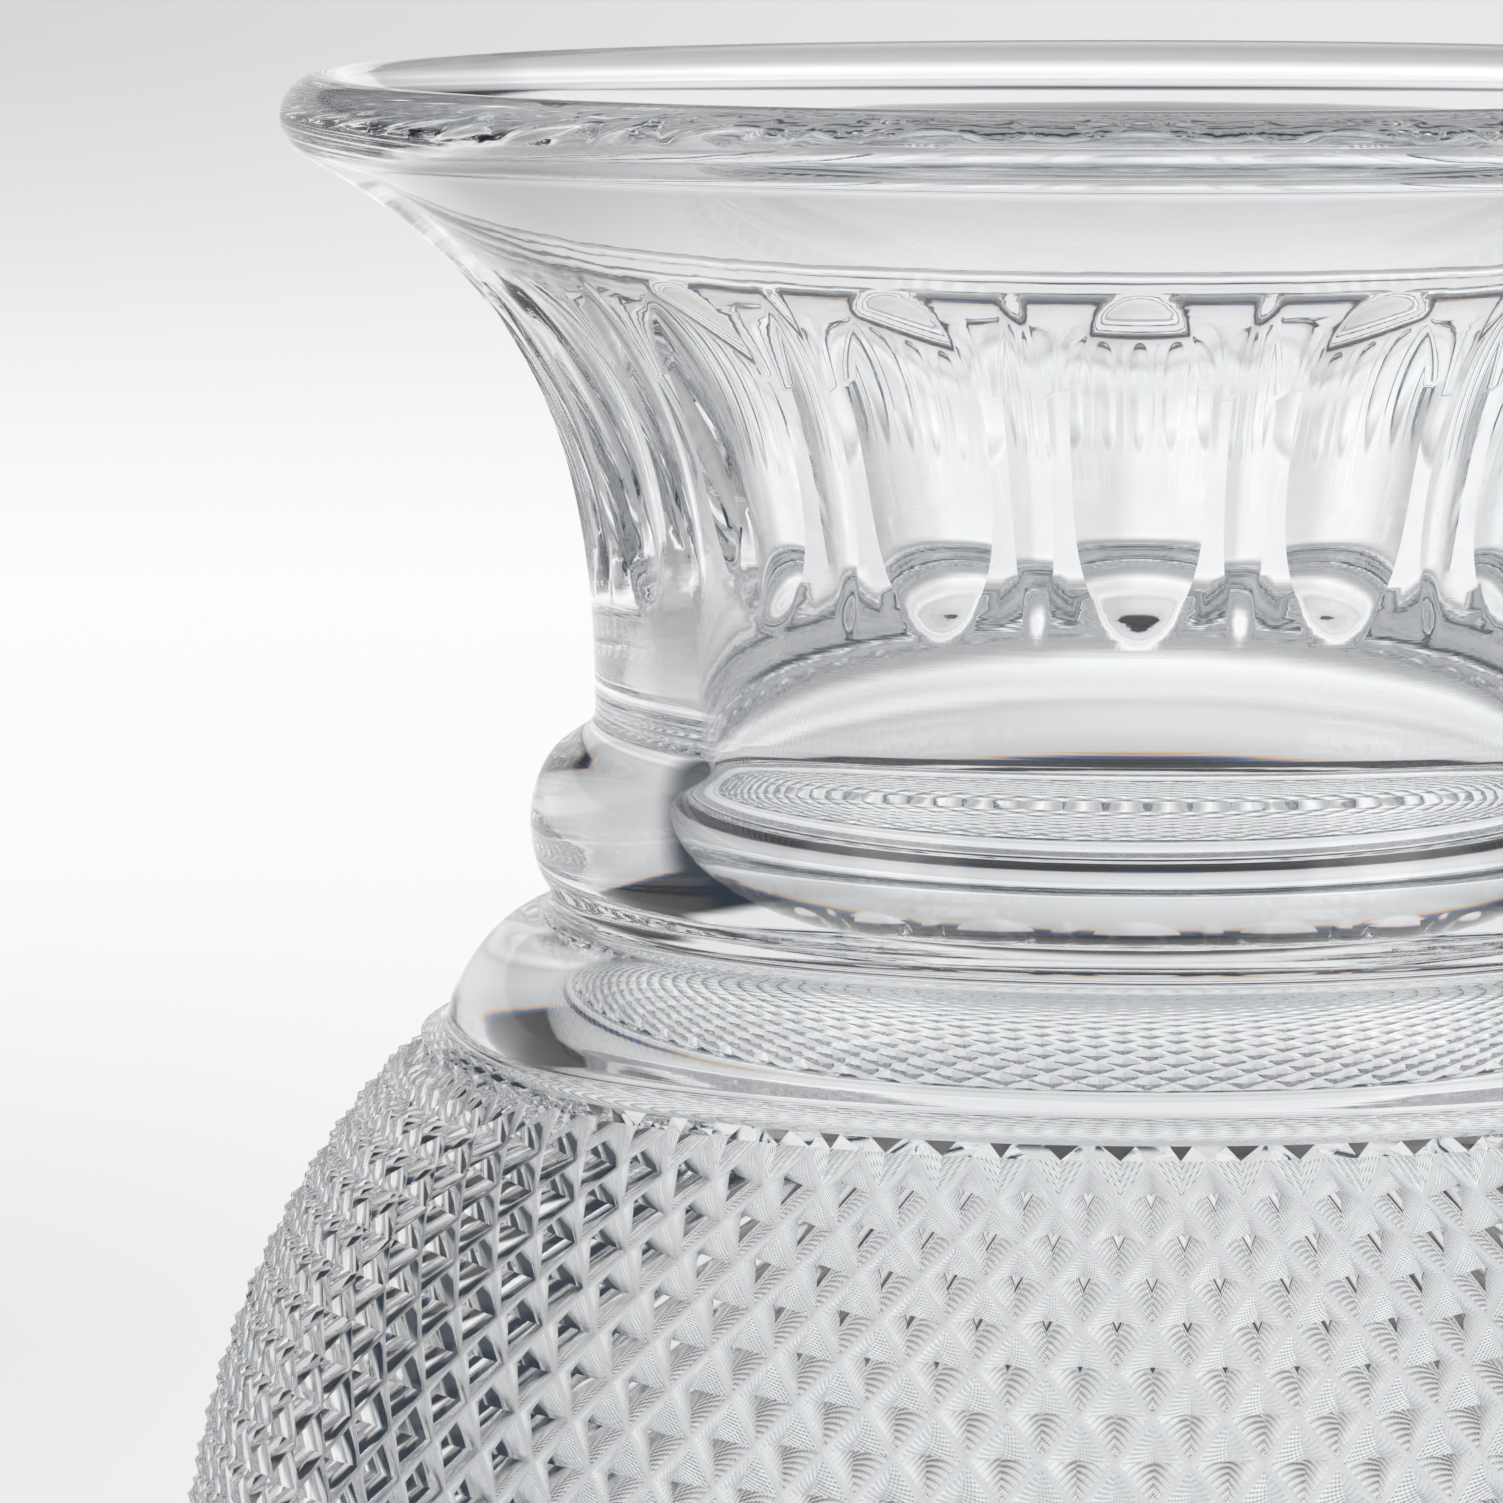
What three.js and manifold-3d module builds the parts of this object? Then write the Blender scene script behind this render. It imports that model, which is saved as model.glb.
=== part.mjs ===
// Cut crystal vase: a blown and cut body on a knop and a spreading foot, bonded with clear films.
// Millimetres, +Z up, origin on the axis in the plane that the foot stands on.
import * as THREE from 'three';
import { mergeVertices } from 'three/addons/utils/BufferGeometryUtils.js';
import Module from 'manifold-3d';

// ---- Driving dimensions ----

// Heights of the stack, from the table up.
const footHeight = 51;
const bondThickness = 0.3;
const knopHeight = 14;
const bodyHeight = 234.4;

// Body, outside.
const rimRadius = 80;
const lipThickness = 7.8;
const lipTurn = 60;
const throatRadius = 50.9;
const throatDrop = 61.8;
const collarProud = 6.1;
const collarTopGap = 0.2;
const collarHeight = 15.8;
const collarSeatGrowth = 1.9;
const shoulderGrowth = 11.6;
const shoulderDrop = 8.6;
const bandHeight = 3.4;
const bandGrowth = 2.9;
const fieldStep = 0.6;
const bellyRadius = 90.6;
const bellyDrop = 56;
const seatRadius = 21;

// Body, inside.
const throatWall = 9.3;
const collarWall = 10.4;
const bellyWall = 8.5;
const floorThickness = 20;

// Cut flutes around the neck.
const fluteCount = 18;
const fluteMiddleDrop = 33;
const fluteDepth = 1.6;
const wheelRadius = 30;
const wheelHalfWidth = 21;

// Knop and foot.
const knopRadius = 30;
const footRadius = 60;
const footEdgeHeight = 7;
const standWidth = 9;
const recessDepth = 5;

// Smoothness of the turned shapes.
const turnSteps = 60;
const smallTurnSteps = 40;

// ---- Derived heights ----

const knopBase = footHeight + bondThickness;
const bodyBase = knopBase + knopHeight + bondThickness;
const rimTop = bodyBase + bodyHeight;
const lipRadius = lipThickness / 2;
const lipCentre = new THREE.Vector2(rimRadius - lipRadius, rimTop - lipRadius);
const throatZ = rimTop - throatDrop;
const collarTop = throatZ - collarTopGap;
const collarBottom = collarTop - collarHeight;
const collarMiddle = (collarTop + collarBottom) / 2;
const collarRadius = throatRadius + collarProud;
const collarFootRadius = throatRadius + collarSeatGrowth;
const shoulderRadius = collarFootRadius + shoulderGrowth;
const shoulderZ = collarBottom - shoulderDrop;
const bandBottom = shoulderZ - bandHeight;
const bandRadius = shoulderRadius + bandGrowth;
const fieldTop = bandBottom - fieldStep;
const fieldTopRadius = bandRadius + fieldStep;
const bellyZ = fieldTop - bellyDrop;
const floorZ = bodyBase + floorThickness;

const point = (radius, z) => new THREE.Vector2(radius, z);
const degrees = THREE.MathUtils.degToRad;

// A place between two points, as shares of the way across and of the way up.
function between(start, end, acrossShare, upShare) {
  return point(
    start.x + (end.x - start.x) * acrossShare,
    start.y + (end.y - start.y) * upShare,
  );
}

// Points along a smooth curve. Each handle is given as shares of the way from start to end.
function curve(start, startHandle, endHandle, end, steps) {
  const first = between(start, end, ...startHandle);
  const second = between(start, end, ...endHandle);
  return new THREE.CubicBezierCurve(start, first, second, end).getPoints(steps);
}

// Points along a round or oval arc, from one angle to another, in degrees.
function arc(centre, acrossRadius, upRadius, fromAngle, toAngle, steps) {
  const points = [];
  for (let i = 0; i <= steps; i += 1) {
    const angle = degrees(fromAngle + ((toAngle - fromAngle) * i) / steps);
    points.push(point(centre.x + acrossRadius * Math.cos(angle), centre.y + upRadius * Math.sin(angle)));
  }
  return points;
}

// Leaves out a point that repeats the one before it.
function joined(...runs) {
  return runs.flat().filter((p, i, all) => i === 0 || p.distanceTo(all[i - 1]) > 1e-4);
}

// Turns an outline about the Z axis. The outline runs upwards along its outside.
function turned(outline, steps) {
  return new THREE.LatheGeometry(outline, steps).rotateX(Math.PI / 2);
}

// ---- Outlines, from the axis to the axis ----

// The outer half of the body, from its ground seat up to the lip.
function bodyOutside() {
  const seat = point(seatRadius, bodyBase);
  const widest = point(bellyRadius, bellyZ);
  const fieldEdge = point(fieldTopRadius, fieldTop);
  const bowl = curve(seat, [0.4, 0.14], [1, 0.45], widest, 9);
  const belly = curve(widest, [0, 0.4], [0.45, 0.8], fieldEdge, 6);
  const shoulderEdge = point(shoulderRadius, shoulderZ);
  const collarFoot = point(collarFootRadius, collarBottom);
  const shoulder = curve(shoulderEdge, [0.2, 0.5], [0.6, 0.93], collarFoot, 4);
  const collarSeat = point((throatRadius + collarFootRadius) / 2, collarMiddle);
  const collar = arc(collarSeat, collarRadius - collarSeat.x, collarHeight / 2, -60, 60, 4);
  const throat = point(throatRadius, throatZ);
  const underLip = arc(lipCentre, lipRadius, lipRadius, -lipTurn, -lipTurn, 1)[0];
  const flare = curve(throat, [0, 0.48], [0.2, 0.77], underLip, 8);
  return joined(bowl, belly, [point(bandRadius, bandBottom)], shoulder, collar, flare);
}

// The inner half of the body, from the lip down to the floor of the bowl.
function bodyInside() {
  const innerLip = arc(lipCentre, lipRadius, lipRadius, 180 - lipTurn, 180 - lipTurn, 1)[0];
  const throat = point(throatRadius - throatWall, throatZ);
  const collar = point(collarRadius - collarWall, collarMiddle);
  const widest = point(bellyRadius - bellyWall, bellyZ);
  const floorMiddle = point(0, floorZ);
  const flare = curve(innerLip, [0.55, 0.21], [1, 0.54], throat, 7);
  const shoulder = curve(collar, [0.11, 0.13], [1, 0.55], widest, 6);
  const bowl = curve(widest, [0, 0.48], [0.45, 1], floorMiddle, 7);
  return joined(flare, shoulder, bowl);
}

function bodyOutline() {
  const lip = arc(lipCentre, lipRadius, lipRadius, -lipTurn, 180 - lipTurn, 6);
  return joined([point(0, bodyBase)], bodyOutside(), lip, bodyInside());
}

function knopOutline() {
  const middle = point(seatRadius, knopBase + knopHeight / 2);
  const bulge = arc(middle, knopRadius - seatRadius, knopHeight / 2, -90, 90, 10);
  return joined([point(0, knopBase)], bulge, [point(0, knopBase + knopHeight)]);
}

function footOutline() {
  const standInner = footRadius - footEdgeHeight / 2 - standWidth;
  const edge = arc(
    point(footRadius - footEdgeHeight / 2, footEdgeHeight / 2),
    footEdgeHeight / 2,
    footEdgeHeight / 2,
    -90,
    70,
    6,
  );
  const neck = point(seatRadius, footHeight);
  const flank = curve(edge[edge.length - 1], [0.65, 0.18], [1.03, 0.6], neck, 10);
  const recess = [point(0, recessDepth), point(standInner * 0.6, recessDepth * 0.75), point(standInner, 0)];
  return joined(recess, edge, flank, [point(0, footHeight)]);
}

function bondOutline(base) {
  const rim = seatRadius - 1;
  const top = base + bondThickness;
  return [point(0, base), point(rim, base), point(rim, top), point(0, top)];
}

// ---- Cut flutes ----

const manifoldLibrary = await Module();
manifoldLibrary.setup();

// A closed geometry as a solid that can be cut.
function toSolid(geometry) {
  const bare = geometry.clone();
  bare.deleteAttribute('normal');
  bare.deleteAttribute('uv');
  const merged = mergeVertices(bare, 1e-4);
  return new manifoldLibrary.Manifold(new manifoldLibrary.Mesh({
    numProp: 3,
    vertProperties: merged.attributes.position.array,
    triVerts: Uint32Array.from(merged.index.array),
  }));
}

// A cut solid as a geometry again.
function toGeometry(solid) {
  const mesh = solid.getMesh();
  const geometry = new THREE.BufferGeometry();
  geometry.setAttribute('position', new THREE.BufferAttribute(mesh.vertProperties, 3));
  geometry.setIndex(new THREE.BufferAttribute(mesh.triVerts, 1));
  geometry.computeVertexNormals();
  return geometry;
}

// Each flute is the mark of a round-edged grinding wheel pressed into the outside of the neck.
function cutFlutes(geometry) {
  const outside = bodyOutside();
  const middleZ = rimTop - fluteMiddleDrop;
  const upper = outside.findIndex((p, i) => i > 0 && outside[i - 1].y <= middleZ && p.y > middleZ);
  const below = outside[upper - 1];
  const above = outside[upper];
  const share = (middleZ - below.y) / (above.y - below.y);
  const middle = below.clone().lerp(above, share);
  const along = above.clone().sub(below).normalize();
  const outward = point(along.y, -along.x);
  const wheelCentre = middle.clone().addScaledVector(outward, wheelRadius - fluteDepth);
  let solid = toSolid(geometry);
  for (let i = 0; i < fluteCount; i += 1) {
    const wheel = new THREE.SphereGeometry(1, 24, 18).rotateZ(Math.PI / 24);
    wheel.scale(wheelRadius, wheelHalfWidth, wheelRadius);
    wheel.translate(wheelCentre.x, 0, wheelCentre.y);
    wheel.rotateZ(((i * 360) / fluteCount - 90) * (Math.PI / 180));
    solid = solid.subtract(toSolid(wheel));
  }
  return toGeometry(solid);
}

// ---- The assembly ----

function piece(name, geometry, color, roughness) {
  const material = new THREE.MeshStandardMaterial({ color, roughness, metalness: 0 });
  const mesh = new THREE.Mesh(geometry, material);
  mesh.name = name;
  return mesh;
}

const crystal = 0xe4e8ec;
const clearBond = 0xf2f2ee;

const vase = new THREE.Group();
vase.add(
  piece('vase_body', cutFlutes(turned(bodyOutline(), turnSteps)), crystal, 0.02),
  piece('knop', turned(knopOutline(), smallTurnSteps), crystal, 0.02),
  piece('foot', turned(footOutline(), smallTurnSteps), crystal, 0.03),
  piece('upper_bond', turned(bondOutline(knopBase + knopHeight), smallTurnSteps), clearBond, 0.1),
  piece('lower_bond', turned(bondOutline(footHeight), smallTurnSteps), clearBond, 0.1),
);

export default vase;
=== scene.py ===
import math

import bmesh
import bpy
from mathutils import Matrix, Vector


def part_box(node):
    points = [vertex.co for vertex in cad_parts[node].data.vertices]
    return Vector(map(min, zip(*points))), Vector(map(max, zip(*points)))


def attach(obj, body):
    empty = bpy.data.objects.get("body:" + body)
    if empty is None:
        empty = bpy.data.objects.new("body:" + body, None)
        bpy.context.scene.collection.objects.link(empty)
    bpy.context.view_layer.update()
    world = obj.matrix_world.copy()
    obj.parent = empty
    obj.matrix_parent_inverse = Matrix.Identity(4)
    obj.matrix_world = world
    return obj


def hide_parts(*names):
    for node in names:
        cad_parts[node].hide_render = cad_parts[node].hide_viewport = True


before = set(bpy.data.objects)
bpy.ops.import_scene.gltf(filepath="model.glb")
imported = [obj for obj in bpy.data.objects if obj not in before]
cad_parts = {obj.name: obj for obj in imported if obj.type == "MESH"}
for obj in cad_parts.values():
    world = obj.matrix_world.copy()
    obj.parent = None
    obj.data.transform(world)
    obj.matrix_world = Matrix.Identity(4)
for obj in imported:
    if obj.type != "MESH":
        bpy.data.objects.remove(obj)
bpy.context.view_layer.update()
bodyLow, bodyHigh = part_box("vase_body")
knopLow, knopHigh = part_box("knop")
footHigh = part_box("foot")[1]
fullTurn = 2 * math.pi


view = {"distance": 0.811, "height": 0.3349, "pitch": 6.93, "yaw": 2.56, "angle": 9.87}
cameraData = bpy.data.cameras.new("camera")
cameraData.sensor_width = 36
cameraData.lens_unit = "FOV"
cameraData.angle = math.radians(view["angle"])
cameraData.clip_end = 50
camera = bpy.data.objects.new("camera", cameraData)
camera.location = (0, -view["distance"], view["height"])
camera.rotation_euler = (math.radians(90 - view["pitch"]), 0, math.radians(view["yaw"]))
bpy.context.scene.collection.objects.link(camera)
bpy.context.scene.camera = camera
bpy.context.scene.view_settings.view_transform = "Standard"
bpy.context.scene.cycles.max_bounces = 40
bpy.context.scene.cycles.transmission_bounces = 40
bpy.context.scene.cycles.glossy_bounces = 24
print("camera ready")


def shareBetween(start, end, shares):
    return (start[0] + (end[0] - start[0]) * shares[0], start[1] + (end[1] - start[1]) * shares[1])


# a smooth curve; each handle is given as shares of the way from start to end
def curvePoints(start, firstShares, secondShares, end, steps):
    first = shareBetween(start, end, firstShares)
    second = shareBetween(start, end, secondShares)
    points = []
    for i in range(steps + 1):
        t = i / steps
        weights = ((1 - t) ** 3, 3 * t * (1 - t) ** 2, 3 * t * t * (1 - t), t ** 3)
        places = (start, first, second, end)
        points.append(tuple(sum(w * p[k] for w, p in zip(weights, places)) for k in (0, 1)))
    return points


def arcPoints(centre, across, up, fromAngle, toAngle, steps):
    points = []
    for i in range(steps + 1):
        angle = math.radians(fromAngle + (toAngle - fromAngle) * i / steps)
        points.append((centre[0] + across * math.cos(angle), centre[1] + up * math.sin(angle)))
    return points


def joinRuns(*runs):
    points = []
    for run in runs:
        for p in run:
            if not points or math.dist(p, points[-1]) > 1e-6:
                points.append(p)
    return points


# the same line with its points at equal distances
def evenSteps(points, step):
    lengths = [0]
    for a, b in zip(points, points[1:]):
        lengths.append(lengths[-1] + math.dist(a, b))
    count = max(1, round(lengths[-1] / step))
    result = []
    k = 0
    for i in range(count + 1):
        wanted = lengths[-1] * i / count
        while k < len(lengths) - 2 and lengths[k + 1] < wanted:
            k += 1
        share = (wanted - lengths[k]) / (lengths[k + 1] - lengths[k])
        result.append(shareBetween(points[k], points[k + 1], (share, share)))
    return result


def spinOutline(bm, outline, steps):
    verts = [bm.verts.new((r, 0, z)) for r, z in outline]
    edges = [bm.edges.new(pair) for pair in zip(verts, verts[1:])]
    bmesh.ops.spin(
        bm, geom=verts + edges, axis=(0, 0, 1), cent=(0, 0, 0),
        steps=steps, angle=fullTurn, use_merge=True,
    )
    onAxis = [v for v in bm.verts if v.co.xy.length < 1e-6]
    bmesh.ops.remove_doubles(bm, verts=onAxis, dist=1e-6)


# edges bent by more than sharpAngle stay crisp, except round faces of the soft finish
def finishMesh(bm, name, sharpAngle, softFinish=None):
    bmesh.ops.recalc_face_normals(bm, faces=bm.faces)
    for e in bm.edges:
        soft = any(f.material_index == softFinish for f in e.link_faces)
        e.smooth = soft or e.calc_face_angle(0) < math.radians(sharpAngle)
    for f in bm.faces:
        f.smooth = True
    mesh = bpy.data.meshes.new(name)
    bm.to_mesh(mesh)
    bm.free()
    piece = bpy.data.objects.new(name, mesh)
    bpy.context.scene.collection.objects.link(piece)
    return piece


body = {
    "rimRadius": 0.08, "lipThickness": 0.0078, "lipTurn": 60,
    "throatRadius": 0.0509, "throatDrop": 0.0618,
    "collarProud": 0.0061, "collarTopGap": 0.0002, "collarHeight": 0.0158, "collarSeatGrowth": 0.0019,
    "coveHeight": 0.0024,
    "shoulderGrowth": 0.0116, "shoulderDrop": 0.0086,
    "bandHeight": 0.0034, "bandGrowth": 0.0029,
    "fieldStep": 0.0006, "bellyDrop": 0.056, "fieldLength": 0.1125,
    "throatWall": 0.0095, "innerThroatDrop": 0.0004, "shoulderWall": 0.0115,
    "bellyWall": 0.0085, "floorThickness": 0.020,
    "seatRadius": 0.021,
    "neckStep": 0.0009, "neckColumns": 432, "innerColumns": 180, "sharpAngle": 22,
}
# broad flutes and narrow ones take turns round the neck; half widths are shares of the pitch
flutes = {"count": 18, "top": 0.2833, "bottom": 0.2527, "squareness": 3.0}
broadFlute = {"centre": 0, "halfWidth": 0.31, "leastHalfWidth": 0.2, "depth": 0.0014, "edgeColumn": 7}
narrowFlute = {"centre": 0.5, "halfWidth": 0.1, "leastHalfWidth": 0.07, "depth": 0.0005, "edgeColumn": 3}
diamonds = {"around": 81, "rowHeight": 0.00408, "depth": 0.0021, "grooveWidth": 0.0004}
grooveSlot = 1
facetSlot = 2
bowlPanels = {"count": 18, "depth": 0.0022, "topGap": 0.006, "bottomGap": 0.004}

bellyRadius = bodyHigh.x
rimTop = bodyHigh.z
bodyBase = bodyLow.z
lipRadius = body["lipThickness"] / 2
lipCentre = (body["rimRadius"] - lipRadius, rimTop - lipRadius)
throatZ = rimTop - body["throatDrop"]
collarTop = throatZ - body["collarTopGap"]
collarBottom = collarTop - body["collarHeight"]
collarMiddle = (collarTop + collarBottom) / 2
collarRadius = body["throatRadius"] + body["collarProud"]
collarFootRadius = body["throatRadius"] + body["collarSeatGrowth"]
shoulderRadius = collarFootRadius + body["shoulderGrowth"]
shoulderZ = collarBottom - body["shoulderDrop"]
bandRadius = shoulderRadius + body["bandGrowth"]
bandBottom = shoulderZ - body["bandHeight"]
fieldTop = bandBottom - body["fieldStep"]
fieldTopRadius = bandRadius + body["fieldStep"]
bellyZ = fieldTop - body["bellyDrop"]
floorZ = bodyBase + body["floorThickness"]


# from the crease above the diamonds, up the outside and over the lip
def outerNeck():
    lip = arcPoints(lipCentre, lipRadius, lipRadius, -body["lipTurn"], 180 - body["lipTurn"], 14)
    band = curvePoints((bandRadius, bandBottom), (0.55, 0.05), (0.92, 0.45), (shoulderRadius, shoulderZ), 6)
    shoulderEdge = (shoulderRadius, shoulderZ)
    collarFoot = (collarRadius - 0.0006, collarBottom - 0.0007)
    shoulder = curvePoints(shoulderEdge, (0.2, 0.5), (0.6, 0.93), collarFoot, 12)
    collarSeat = ((body["throatRadius"] + collarFootRadius) / 2, collarMiddle)
    collar = arcPoints(collarSeat, collarRadius - collarSeat[0], body["collarHeight"] / 2, -45, 62, 16)
    lowerCove = curvePoints(collarFoot, (1.75, 0.08), (2, 0.55), collar[0], 8)
    throat = (body["throatRadius"], throatZ + body["coveHeight"])
    cove = curvePoints(collar[-1], (0.5, 0.36), (1, 0.55), throat, 6)
    flare = evenSteps(curvePoints(throat, (0, 0.48), (0.2, 0.77), lip[0], 60), body["neckStep"])
    return joinRuns(band, shoulder, lowerCove, collar, cove, flare, lip)


# from just inside the lip down to the middle of the floor
def innerWall():
    insideAngle = 182 - body["lipTurn"]
    innerLip = arcPoints(lipCentre, lipRadius, lipRadius, insideAngle, insideAngle, 1)[0]
    throat = (body["throatRadius"] - body["throatWall"], throatZ - body["innerThroatDrop"])
    shoulder = (shoulderRadius - body["shoulderWall"], shoulderZ + 0.002)
    widest = (bellyRadius - body["bellyWall"], bellyZ)
    flare = curvePoints(innerLip, (0.8, 0.38), (0.97, 0.7), throat, 24)
    neck = curvePoints(throat, (0.1, 0.4), (0.5, 0.62), shoulder, 14)
    belly = curvePoints(shoulder, (0.26, 0.2), (1, 0.5), widest, 12)
    bowl = curvePoints(widest, (0, 0.48), (0.45, 1), (0, floorZ), 16)
    return joinRuns(flare, neck, belly, bowl)


# from the field's top edge down the outside to the ground seat
def outerBelly():
    widest = (bellyRadius, bellyZ)
    fieldEdge = (fieldTopRadius, fieldTop)
    seat = (body["seatRadius"], bodyBase)
    belly = curvePoints(fieldEdge, (0.55, 0.2), (1, 0.6), widest, 60)
    bowl = curvePoints(widest, (0, 0.55), (0.6, 0.86), seat, 60)
    return joinRuns(belly, bowl)


# the angle round the axis from the front, in degrees
def frontAngle(co):
    return math.degrees(math.atan2(co.x, -co.y))


# a flute's half width and depth at a place along it, from -1 at its foot to 1 at its top
def fluteHalf(flute, along):
    shape = max(0, 1 - abs(along) ** flutes["squareness"])
    return flute["halfWidth"] * shape ** 0.5, flute["depth"] * shape


# where the column that follows a flute's edge runs; past its ends it goes back to even spacing
def columnHalf(flute, along, evenShare):
    half = max(flute["leastHalfWidth"], fluteHalf(flute, along)[0])
    fade = min(1, max(0, 1.6 - abs(along)) / 0.6)
    return evenShare + (half - evenShare) * fade


# draws the mesh's columns in to each flute's outline, then sinks the flutes between them
def cutFlutes(bm):
    pitch = 360 / flutes["count"]
    columnsPerPitch = body["neckColumns"] / flutes["count"]
    broadShare = broadFlute["edgeColumn"] / columnsPerPitch
    narrowShare = narrowFlute["edgeColumn"] / columnsPerPitch
    middleZ = (flutes["top"] + flutes["bottom"]) / 2
    halfLength = (flutes["top"] - flutes["bottom"]) / 2
    for v in bm.verts:
        if not throatZ + body["coveHeight"] + 0.001 < v.co.z < lipCentre[1] - 0.006:
            continue
        radius = v.co.xy.length
        along = (v.co.z - middleZ) / halfLength
        turns = frontAngle(v.co) / pitch
        nearest = round(turns)
        offset = turns - nearest
        broadEdge = columnHalf(broadFlute, along, broadShare)
        narrowEdge = 0.5 - columnHalf(narrowFlute, along, narrowShare)
        share = abs(offset)
        if share <= broadShare:
            placed = share / broadShare * broadEdge
        elif share <= 0.5 - narrowShare:
            land = (share - broadShare) / (0.5 - narrowShare - broadShare)
            placed = broadEdge + land * (narrowEdge - broadEdge)
        else:
            placed = narrowEdge + (share - 0.5 + narrowShare) / narrowShare * (0.5 - narrowEdge)
        sink = 0
        for flute in (broadFlute, narrowFlute):
            half, depth = fluteHalf(flute, along)
            across = abs(placed - flute["centre"])
            if across < half:
                sink = depth * (1 - (across / half) ** 2)
        angle = math.radians((nearest + math.copysign(placed, offset)) * pitch)
        sunk = radius - sink * v.normal.xy.length
        v.co = Vector((sunk * math.sin(angle), -sunk * math.cos(angle), v.co.z - sink * v.normal.z))


# long hollow panels that meet in ridges, from under the diamonds down to the seat
def cutPanels(bm, top):
    pitch = 360 / bowlPanels["count"]
    bottom = bodyBase + bowlPanels["bottomGap"]
    for v in bm.verts:
        if not bottom < v.co.z < top:
            continue
        turns = frontAngle(v.co) / pitch
        across = 2 * abs(turns - round(turns))
        along = (v.co.z - bottom) / (top - bottom)
        arch = max(0, 1 - across ** 2 - along ** 4 * (1 + across))
        taper = min(1, v.co.xy.length / (0.5 * bellyRadius))
        v.co -= v.normal * bowlPanels["depth"] * arch * taper * min(1, 4 * along)


# the belly: a turned grid whose every other crossing is a groove crossing, pressed in
def buildField(bm):
    columns = 2 * diamonds["around"]
    line = evenSteps(outerBelly(), diamonds["rowHeight"])
    rows = round(body["fieldLength"] / diamonds["rowHeight"])
    fieldLine = line[:rows + 1]
    smoothLine = evenSteps(line[rows:], 0.003)
    spinOutline(bm, joinRuns(fieldLine, smoothLine, [(0, bodyBase)]), columns)
    bmesh.ops.recalc_face_normals(bm, faces=bm.faces)
    bm.normal_update()
    heights = [p[1] for p in fieldLine]
    crossings = []
    tips = []
    for v in bm.verts:
        row = min(range(rows + 1), key=lambda i: abs(heights[i] - v.co.z))
        if abs(heights[row] - v.co.z) > 1e-5 or v.co.xy.length < body["seatRadius"]:
            continue
        column = round(math.atan2(v.co.y, v.co.x) / fullTurn * columns)
        if (row + column) % 2 == 0:
            crossings.append((v, 1))
        elif row in (0, rows):
            tips.append((v, 0.5))
    cutPanels(bm, heights[-1] - bowlPanels["topGap"])
    for v, share in crossings + tips:
        v.co -= v.normal * diamonds["depth"] * share
    bmesh.ops.connect_verts(bm, verts=[v for v, share in crossings])
    chosen = {v for v, share in crossings}
    grooves = [e for e in bm.edges if e.verts[0] in chosen and e.verts[1] in chosen]
    made = bmesh.ops.bevel(
        bm, geom=grooves, offset=diamonds["grooveWidth"], segments=2, profile=0.5,
        affect="EDGES", material=-1, clamp_overlap=True,
    )
    cutTop = heights[0] + 1e-5
    for f in bm.faces:
        centre = f.calc_center_median()
        if heights[-1] < centre.z < cutTop:
            f.material_index = facetSlot
    for f in made["faces"]:
        f.material_index = grooveSlot


# adds another bmesh's geometry, and returns its open edges
def addTo(bm, other):
    before = set(bm.verts)
    mesh = bpy.data.meshes.new("joined")
    other.to_mesh(mesh)
    other.free()
    bm.from_mesh(mesh)
    bpy.data.meshes.remove(mesh)
    return [e for e in bm.edges if e.is_boundary and e.verts[0] not in before]


def turnedMesh(outline, steps):
    bm = bmesh.new()
    spinOutline(bm, outline, steps)
    bmesh.ops.recalc_face_normals(bm, faces=bm.faces)
    bm.normal_update()
    return bm


def buildBody():
    bm = turnedMesh(outerNeck(), body["neckColumns"])
    outward = next(v for v in bm.verts if abs(v.co.z - throatZ - body["coveHeight"]) < 1e-6)
    if outward.normal.xy.dot(outward.co.xy) < 0:
        bmesh.ops.reverse_faces(bm, faces=bm.faces)
        bm.normal_update()
    cutFlutes(bm)
    ends = [e for e in bm.edges if e.is_boundary]
    lipEnd = [e for e in ends if e.verts[0].co.z > throatZ]
    bandEnd = [e for e in ends if e.verts[0].co.z < throatZ]
    innerEnd = addTo(bm, turnedMesh(innerWall(), body["innerColumns"]))
    bmesh.ops.bridge_loops(bm, edges=lipEnd + innerEnd)
    field = bmesh.new()
    buildField(field)
    fieldEnd = addTo(bm, field)
    bmesh.ops.bridge_loops(bm, edges=bandEnd + fieldEnd)
    triangles = sum(len(f.verts) - 2 for f in bm.faces)
    print("open edges left:", sum(1 for e in bm.edges if not e.is_manifold), "triangles:", triangles)
    return finishMesh(bm, "body_crystal", body["sharpAngle"], softFinish=grooveSlot)


bodyPiece = buildBody()
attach(bodyPiece, "root")
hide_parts("vase_body")
print("body ready")


knop = {"bulge": 0.009, "columns": 180, "facets": 18, "facetDepth": 0.0011}


def buildKnop():
    middle = (body["seatRadius"], (knopLow.z + knopHigh.z) / 2)
    halfHeight = (knopHigh.z - knopLow.z) / 2
    bulge = arcPoints(middle, knop["bulge"], halfHeight, -90, 90, 36)
    outline = joinRuns([(0, knopLow.z)], bulge, [(0, knopHigh.z)])
    bm = turnedMesh(outline, knop["columns"])
    pitch = 360 / knop["facets"]
    for v in bm.verts:
        turns = frontAngle(v.co) / pitch
        across = 2 * abs(turns - round(turns))
        bulging = max(0, (v.co.xy.length - middle[0]) / knop["bulge"])
        sink = knop["facetDepth"] * (1 - across ** 2) * min(1, 1.6 * bulging)
        v.co.xy *= 1 - sink / max(v.co.xy.length, 1e-6)
    return finishMesh(bm, "knop_crystal", 24)


knopPiece = buildKnop()
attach(knopPiece, "root")
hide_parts("knop")


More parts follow.
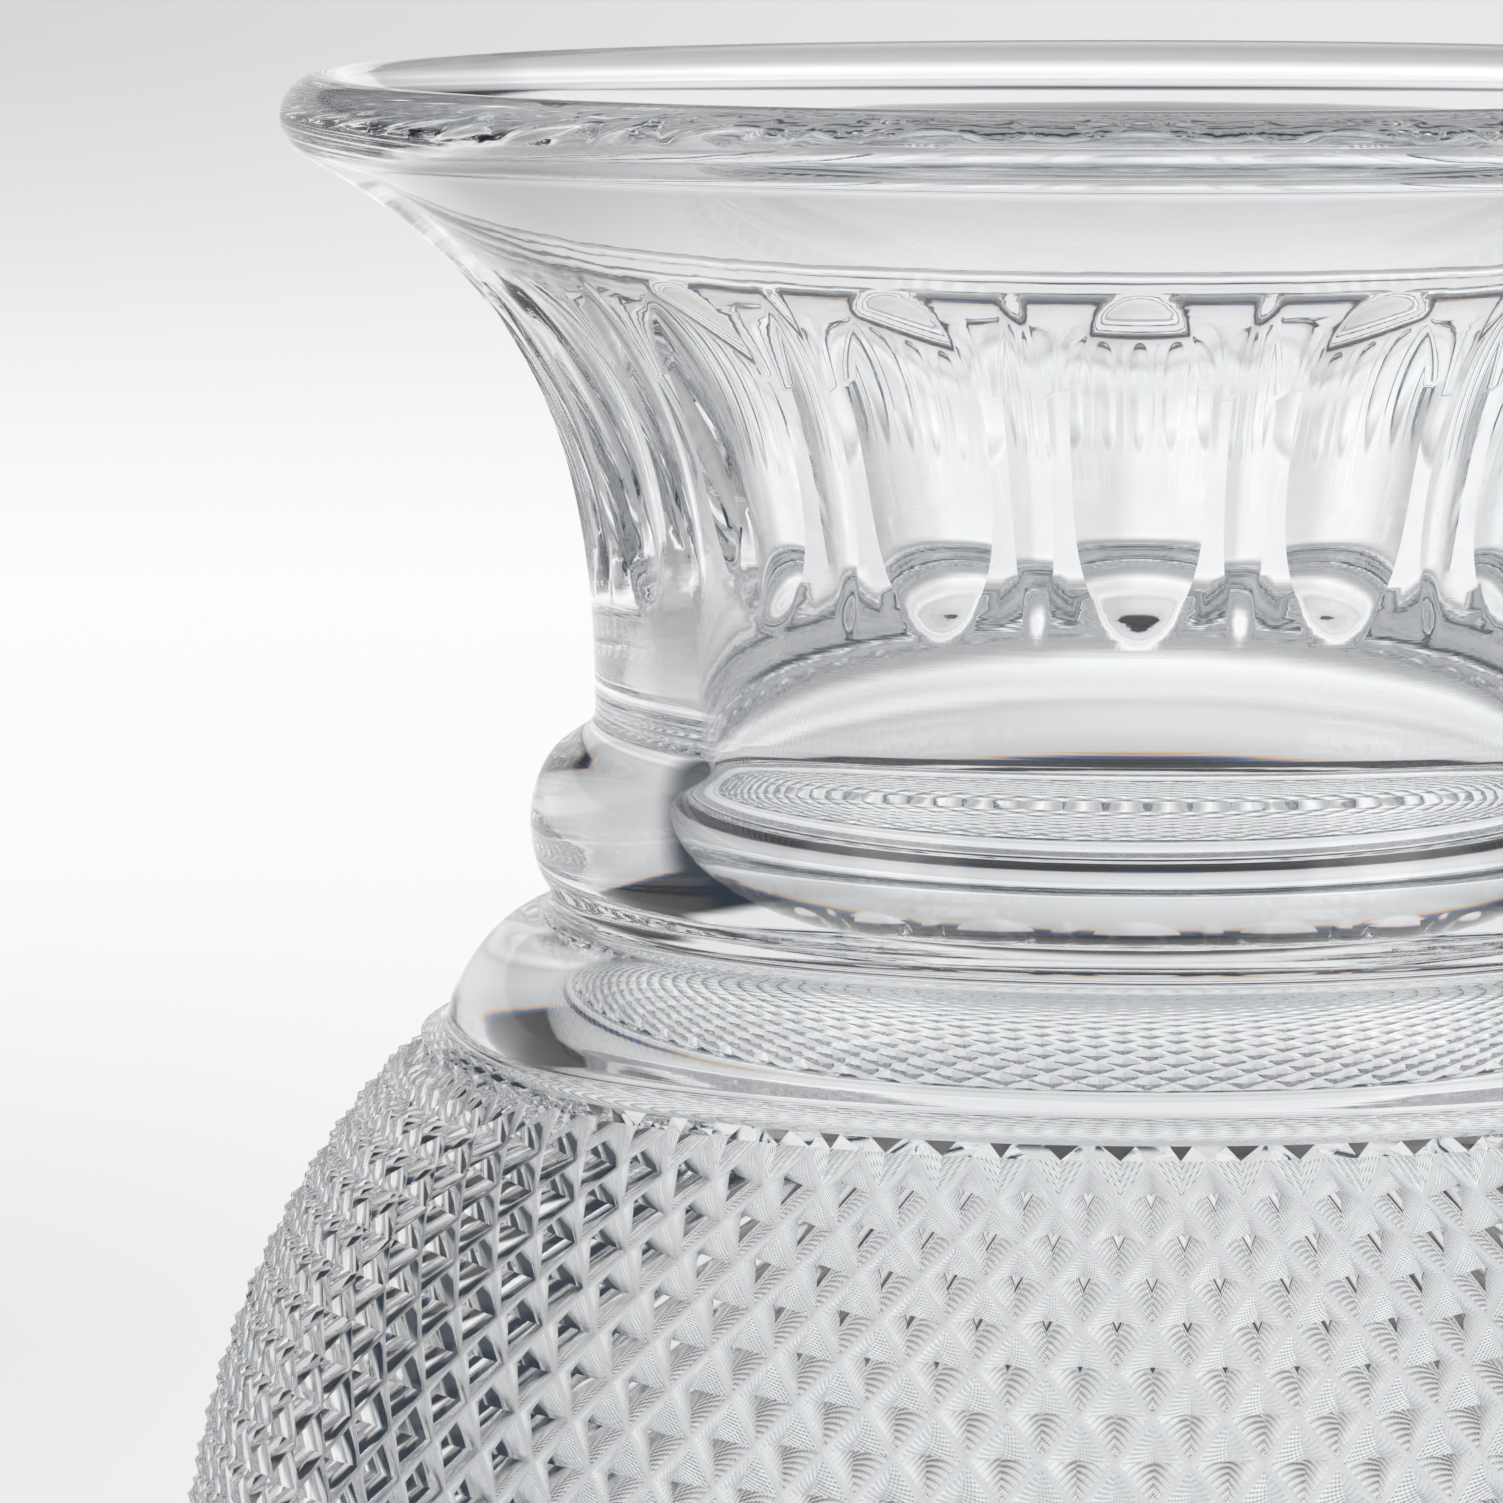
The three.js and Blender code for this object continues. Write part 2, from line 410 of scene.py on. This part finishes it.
foot = {
    "radius": 0.06, "edgeHeight": 0.007, "standWidth": 0.009, "recessDepth": 0.005, "columns": 216,
    "petals": 18, "petalReach": 0.055, "petalDepth": 0.0016, "starRays": 18, "starDepth": 0.0012,
}


def footOutline():
    edgeRadius = foot["edgeHeight"] / 2
    standOuter = foot["radius"] - edgeRadius
    standInner = standOuter - foot["standWidth"]
    recess = curvePoints((0, foot["recessDepth"]), (0.4, 0), (0.8, 0.35), (standInner, 0), 14)
    stand = evenSteps([(standInner, 0), (standOuter, 0)], 0.003)
    edge = arcPoints((standOuter, edgeRadius), edgeRadius, edgeRadius, -90, 70, 14)
    flank = curvePoints(edge[-1], (0.65, 0.18), (1.03, 0.6), (body["seatRadius"], footHigh.z), 44)
    return joinRuns(recess, stand, edge, flank, [(0, footHigh.z)])


def buildFoot():
    bm = turnedMesh(footOutline(), foot["columns"])
    petalPitch = 360 / foot["petals"]
    rayPitch = 360 / foot["starRays"]
    standInner = foot["radius"] - foot["edgeHeight"] / 2 - foot["standWidth"]
    for v in bm.verts:
        radius = v.co.xy.length
        if v.normal.z < 0 and radius < standInner - 1e-4:
            turns = frontAngle(v.co) / rayPitch
            across = 2 * abs(turns - round(turns))
            reach = radius / standInner
            v.co.z += foot["starDepth"] * (1 - across) * 4 * reach * (1 - reach)
        elif v.normal.z > 0 and v.co.z > foot["edgeHeight"] * 0.9 and radius > body["seatRadius"] + 1e-4:
            turns = frontAngle(v.co) / petalPitch
            across = 2 * abs(turns - round(turns))
            along = (radius - body["seatRadius"]) / (foot["petalReach"] - body["seatRadius"])
            arch = max(0, 1 - across ** 2 - max(0, along) ** 5 * (1 + across))
            v.co -= v.normal * foot["petalDepth"] * arch * min(1, 6 * along)
    for f in bm.faces:
        standing = all(abs(v.co.z) < 1e-6 for v in f.verts)
        f.material_index = 1 if standing else 0
    return finishMesh(bm, "foot_crystal", 20)


footPiece = buildFoot()
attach(footPiece, "root")
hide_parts("foot")


bond = {"setBack": 0.0004, "clearance": 0.00001}


def buildBond(name, node):
    low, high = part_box(node)
    low.z += bond["clearance"]
    high.z -= bond["clearance"]
    bm = bmesh.new()
    bmesh.ops.create_circle(bm, cap_ends=True, radius=high.x - bond["setBack"], segments=96)
    bmesh.ops.translate(bm, verts=bm.verts, vec=(0, 0, low.z))
    raised = bmesh.ops.extrude_face_region(bm, geom=bm.faces[:])
    top = [g for g in raised["geom"] if isinstance(g, bmesh.types.BMVert)]
    bmesh.ops.translate(bm, verts=top, vec=(0, 0, high.z - low.z))
    rimEdges = [e for e in bm.edges if len(e.link_faces) == 2 and e.calc_face_angle() > 1]
    bmesh.ops.bevel(
        bm, geom=rimEdges, offset=(high.z - low.z) * 0.3, segments=3, profile=0.5,
        affect="EDGES", material=-1,
    )
    piece = finishMesh(bm, name, 40)
    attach(piece, "root")
    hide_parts(node)
    return piece


bondPieces = [buildBond("upper_bond_film", "upper_bond"), buildBond("lower_bond_film", "lower_bond")]
print("knop, foot and bonds ready")


def addNode(tree, kind, **values):
    node = tree.nodes.new("ShaderNode" + kind)
    for name, value in values.items():
        setattr(node, name, value)
    return node


def mathNode(tree, operation, first, second=None):
    node = addNode(tree, "Math", operation=operation)
    for socket, value in zip(node.inputs, (first, second)):
        if value is None:
            continue
        if isinstance(value, (int, float)):
            socket.default_value = value
        else:
            tree.links.new(value, socket)
    return node.outputs[0]


# how close the marks lie: lines across and up the axis, waves and haze in every direction
marks = {"linesAround": 1.6, "linesUp": 2600, "waves": 95, "haze": 38, "bumpDistance": 0.00001}


# what grinding and polishing leave: fine lines round the axis, slight waves and faint haze
def buildPolishGroup():
    group = bpy.data.node_groups.new("polish", "ShaderNodeTree")
    defaults = (("Line Depth", 0.3), ("Wave Depth", 1.0), ("Haze", 0.01), ("Base Roughness", 0.0))
    for name, value in defaults:
        socket = group.interface.new_socket(name, in_out="INPUT", socket_type="NodeSocketFloat")
        socket.default_value = value
    for name, kind in (("Height", "Float"), ("Roughness", "Float"), ("Tint", "Color")):
        group.interface.new_socket(name, in_out="OUTPUT", socket_type="NodeSocket" + kind)
    given = group.nodes.new("NodeGroupInput").outputs
    result = group.nodes.new("NodeGroupOutput").inputs
    coords = addNode(group, "TexCoord")
    axes = addNode(group, "SeparateXYZ")
    group.links.new(coords.outputs["Object"], axes.inputs[0])
    angle = mathNode(group, "ARCTAN2", axes.outputs["Y"], axes.outputs["X"])
    ring = addNode(group, "CombineXYZ")
    group.links.new(mathNode(group, "MULTIPLY", angle, marks["linesAround"]), ring.inputs["X"])
    upward = mathNode(group, "MULTIPLY", axes.outputs["Z"], marks["linesUp"])
    group.links.new(upward, ring.inputs["Z"])
    lines = addNode(group, "TexNoise")
    lines.inputs["Scale"].default_value = 1
    lines.inputs["Detail"].default_value = 3
    group.links.new(ring.outputs[0], lines.inputs["Vector"])
    waves = addNode(group, "TexNoise")
    waves.inputs["Scale"].default_value = marks["waves"]
    waves.inputs["Detail"].default_value = 1
    group.links.new(coords.outputs["Object"], waves.inputs["Vector"])
    haze = addNode(group, "TexNoise")
    haze.inputs["Scale"].default_value = marks["haze"]
    haze.inputs["Detail"].default_value = 5
    group.links.new(coords.outputs["Object"], haze.inputs["Vector"])
    lineHeight = mathNode(group, "MULTIPLY", lines.outputs["Fac"], given["Line Depth"])
    waveHeight = mathNode(group, "MULTIPLY", waves.outputs["Fac"], given["Wave Depth"])
    group.links.new(mathNode(group, "ADD", lineHeight, waveHeight), result["Height"])
    spots = mathNode(group, "MAXIMUM", mathNode(group, "SUBTRACT", haze.outputs["Fac"], 0.5), 0)
    blurred = mathNode(group, "MULTIPLY", spots, given["Haze"])
    rough = mathNode(group, "ADD", blurred, given["Base Roughness"])
    group.links.new(rough, result["Roughness"])
    tint = addNode(group, "ValToRGB")
    tint.color_ramp.elements[0].position = 0.3
    tint.color_ramp.elements[0].color = (0.984, 0.992, 0.997, 1)
    tint.color_ramp.elements[1].position = 0.7
    tint.color_ramp.elements[1].color = (0.997, 0.999, 1, 1)
    group.links.new(haze.outputs["Fac"], tint.inputs["Fac"])
    group.links.new(tint.outputs["Color"], result["Tint"])
    return group


polish = buildPolishGroup()


def crystalMaterial(name, ior, lineDepth, waveDepth, haze, baseRoughness):
    material = bpy.data.materials.new(name)
    material.use_nodes = True
    tree = material.node_tree
    shader = tree.nodes["Principled BSDF"]
    shader.inputs["Transmission Weight"].default_value = 1
    shader.inputs["IOR"].default_value = ior
    finish = addNode(tree, "Group", node_tree=polish)
    settings = (("Line Depth", lineDepth), ("Wave Depth", waveDepth), ("Haze", haze))
    for socket, value in settings + (("Base Roughness", baseRoughness),):
        finish.inputs[socket].default_value = value
    bump = addNode(tree, "Bump")
    bump.inputs["Strength"].default_value = 1
    bump.inputs["Distance"].default_value = marks["bumpDistance"]
    tree.links.new(finish.outputs["Height"], bump.inputs["Height"])
    tree.links.new(bump.outputs[0], shader.inputs["Normal"])
    tree.links.new(finish.outputs["Roughness"], shader.inputs["Roughness"])
    tree.links.new(finish.outputs["Tint"], shader.inputs["Base Color"])
    return material


crystalIor = 1.55
polished = crystalMaterial("polished_crystal", crystalIor, 0.12, 1.0, 0.03, 0.0)
faceted = crystalMaterial("facet_crystal", crystalIor, 0.0, 2.5, 0.06, 0.03)
grooved = crystalMaterial("groove_crystal", crystalIor, 0.5, 1.0, 0.3, 0.3)
ground = crystalMaterial("ground_crystal", crystalIor, 2.0, 2.0, 0.4, 0.42)
bondFilm = crystalMaterial("bond_film", 1.5, 0.0, 0.5, 0.2, 0.05)
for piece, materials in (
    (bodyPiece, (polished, grooved, faceted)),
    (knopPiece, (polished,)),
    (footPiece, (polished, ground)),
    (bondPieces[0], (bondFilm,)),
    (bondPieces[1], (bondFilm,)),
):
    for material in materials:
        piece.data.materials.append(material)
print("materials ready")


# painted light: the floor glows though it is no lamp, and the glow is weakest under the vase as a painted
# soft shadow
floor = {
    "radius": 0.42, "fadeFrom": 0.16, "drop": 0.0003,
    "paintedGlow": 0.26, "shadow": 0.35, "shadowFrom": 0.05, "shadowTo": 0.3,
    "grain": 900, "grainHeight": 0.00003,
}


def buildFloor():
    bm = bmesh.new()
    bmesh.ops.create_circle(bm, cap_ends=True, radius=floor["radius"], segments=128)
    bmesh.ops.translate(bm, verts=bm.verts, vec=(0, 0, -floor["drop"]))
    piece = finishMesh(bm, "floor", 30)
    material = bpy.data.materials.new("pale_floor")
    material.use_nodes = True
    tree = material.node_tree
    shader = tree.nodes["Principled BSDF"]
    coords = addNode(tree, "TexCoord")
    grain = addNode(tree, "TexNoise")
    grain.inputs["Scale"].default_value = floor["grain"]
    grain.inputs["Detail"].default_value = 4
    tree.links.new(coords.outputs["Object"], grain.inputs["Vector"])
    tone = addNode(tree, "ValToRGB")
    tone.color_ramp.elements[0].color = (0.86, 0.865, 0.875, 1)
    tone.color_ramp.elements[1].color = (0.93, 0.932, 0.938, 1)
    tree.links.new(grain.outputs["Fac"], tone.inputs["Fac"])
    tree.links.new(tone.outputs["Color"], shader.inputs["Base Color"])
    bump = addNode(tree, "Bump")
    bump.inputs["Distance"].default_value = floor["grainHeight"]
    tree.links.new(grain.outputs["Fac"], bump.inputs["Height"])
    tree.links.new(bump.outputs[0], shader.inputs["Normal"])
    rough = mathNode(tree, "MULTIPLY_ADD", grain.outputs["Fac"], 0.2)
    rough.node.inputs[2].default_value = 0.45
    tree.links.new(rough, shader.inputs["Roughness"])
    # the floor thins out to nothing at its edge, so no rim of it shows
    away = addNode(tree, "VectorMath", operation="LENGTH")
    tree.links.new(coords.outputs["Object"], away.inputs[0])
    edge = softStep(tree, away.outputs["Value"], floor["radius"], floor["fadeFrom"])
    tree.links.new(edge, shader.inputs["Alpha"])
    # painted glow and painted shadow: the emission is dim near the vase and bright further out
    paintedGlow = addNode(tree, "ValToRGB")
    paintedGlow.color_ramp.elements[0].position = floor["shadowFrom"]
    paintedGlow.color_ramp.elements[0].color = (floor["shadow"],) * 3 + (1,)
    paintedGlow.color_ramp.elements[1].position = floor["shadowTo"]
    paintedGlow.color_ramp.elements[1].color = (0.97, 0.98, 1, 1)
    tree.links.new(away.outputs["Value"], paintedGlow.inputs["Fac"])
    tree.links.new(paintedGlow.outputs["Color"], shader.inputs["Emission Color"])
    shader.inputs["Emission Strength"].default_value = floor["paintedGlow"]
    piece.data.materials.append(material)


studio = {
    "shade": (0.03, 0.042, 0.06),
    "backdropHalfWidth": 57, "backdropFade": 12,
    # light of the backdrop against the sine of the height angle; its top edge is slightly
    # coloured, because cut crystal splits the light of an edge into sparks
    "backdrop": (
        (-1.0, 0.25), (-0.45, 0.6), (-0.3, 1.12), (-0.2, 1.0), (-0.15, 0.96), (-0.1, 0.99), (-0.06, 0.86),
        (-0.035, 0.8), (0.0, 0.88), (0.1, 0.88), (0.17, 0.78), (0.225, 0.7), (0.24, (0.8, 0.52, 0.26)),
        (0.252, (0.1, 0.19, 0.42)), (0.272, 0.05), (1.0, 0.05),
    ),
    "cornerShade": 0.16,
    "tableLight": 0.04, "tableHeight": (-0.2, -0.45),
    "overheadLight": 0.86, "overheadHeight": (0.55, 0.63), "overheadReach": (-0.4, -0.15),
    "sideLight": 1.25, "sideFrom": 112, "sideTo": 138, "sideHeight": (0.06, 0.62),
}


def mixColors(tree, factor, first, second):
    mix = addNode(tree, "Mix", data_type="RGBA")
    tree.links.new(factor, mix.inputs["Factor"])
    for socket, value in ((mix.inputs[6], first), (mix.inputs[7], second)):
        if isinstance(value, tuple):
            socket.default_value = (*value, 1)
        else:
            tree.links.new(value, socket)
    return mix.outputs[2]


def softStep(tree, value, low, high):
    step = addNode(tree, "MapRange", interpolation_type="SMOOTHSTEP")
    step.inputs["From Min"].default_value = low
    step.inputs["From Max"].default_value = high
    tree.links.new(value, step.inputs["Value"])
    return step.outputs["Result"]


def lightPanel(tree, color, mask, light):
    return mixColors(tree, mask, color, (light * 0.99, light * 0.995, light))


def buildStudio():
    world = bpy.data.worlds.new("studio")
    bpy.context.scene.world = world
    world.use_nodes = True
    tree = world.node_tree
    tree.nodes.clear()
    direction = addNode(tree, "SeparateXYZ")
    tree.links.new(addNode(tree, "TexCoord").outputs["Generated"], direction.inputs[0])
    x, y, z = direction.outputs
    turned = mathNode(tree, "ABSOLUTE", mathNode(tree, "ARCTAN2", x, y))
    height = mathNode(tree, "MULTIPLY_ADD", z, 0.5)
    height.node.inputs[2].default_value = 0.5
    backdrop = addNode(tree, "ValToRGB")
    points = studio["backdrop"]
    while len(backdrop.color_ramp.elements) < len(points):
        backdrop.color_ramp.elements.new(0.5)
    for element, (sine, light) in zip(backdrop.color_ramp.elements, points):
        element.position = (sine + 1) / 2
        tint = light if isinstance(light, tuple) else (light * 0.985, light * 0.99, light)
        element.color = (*tint, 1)
    tree.links.new(height, backdrop.inputs["Fac"])
    corner = mathNode(tree, "MULTIPLY", softStep(tree, x, 0.02, -0.15), studio["cornerShade"])
    aside = softStep(tree, mathNode(tree, "ABSOLUTE", mathNode(tree, "ADD", z, 0.11)), 0.02, 0.08)
    corner = mathNode(tree, "MULTIPLY", corner, aside)
    backdropColor = mixColors(tree, corner, backdrop.outputs["Color"], (0, 0, 0))
    edge = math.radians(studio["backdropHalfWidth"])
    fade = math.radians(studio["backdropFade"])
    ahead = softStep(tree, turned, edge + fade / 2, edge - fade / 2)
    tableHigh, tableLow = studio["tableHeight"]
    below = softStep(tree, z, tableHigh, tableLow)
    around = mixColors(tree, below, studio["shade"], (studio["tableLight"],) * 3)
    color = mixColors(tree, ahead, around, backdropColor)
    low, high = studio["overheadHeight"]
    reachLow, reachHigh = studio["overheadReach"]
    above = softStep(tree, z, low, high)
    overhead = mathNode(tree, "MULTIPLY", above, softStep(tree, y, reachLow, reachHigh))
    color = lightPanel(tree, color, overhead, studio["overheadLight"])
    sideFrom = math.radians(studio["sideFrom"])
    sideTo = math.radians(studio["sideTo"])
    near = softStep(tree, turned, sideFrom - 0.05, sideFrom + 0.05)
    far = softStep(tree, turned, sideTo + 0.05, sideTo - 0.05)
    sides = mathNode(tree, "MULTIPLY", near, far)
    bottom, top = studio["sideHeight"]
    sides = mathNode(tree, "MULTIPLY", sides, softStep(tree, z, bottom - 0.03, bottom + 0.03))
    sides = mathNode(tree, "MULTIPLY", sides, softStep(tree, z, top + 0.03, top - 0.03))
    color = lightPanel(tree, color, sides, studio["sideLight"])
    background = addNode(tree, "Background")
    tree.links.new(color, background.inputs["Color"])
    tree.links.new(background.outputs[0], addNode(tree, "OutputWorld").inputs[0])


buildFloor()
buildStudio()
print("floor and studio ready")
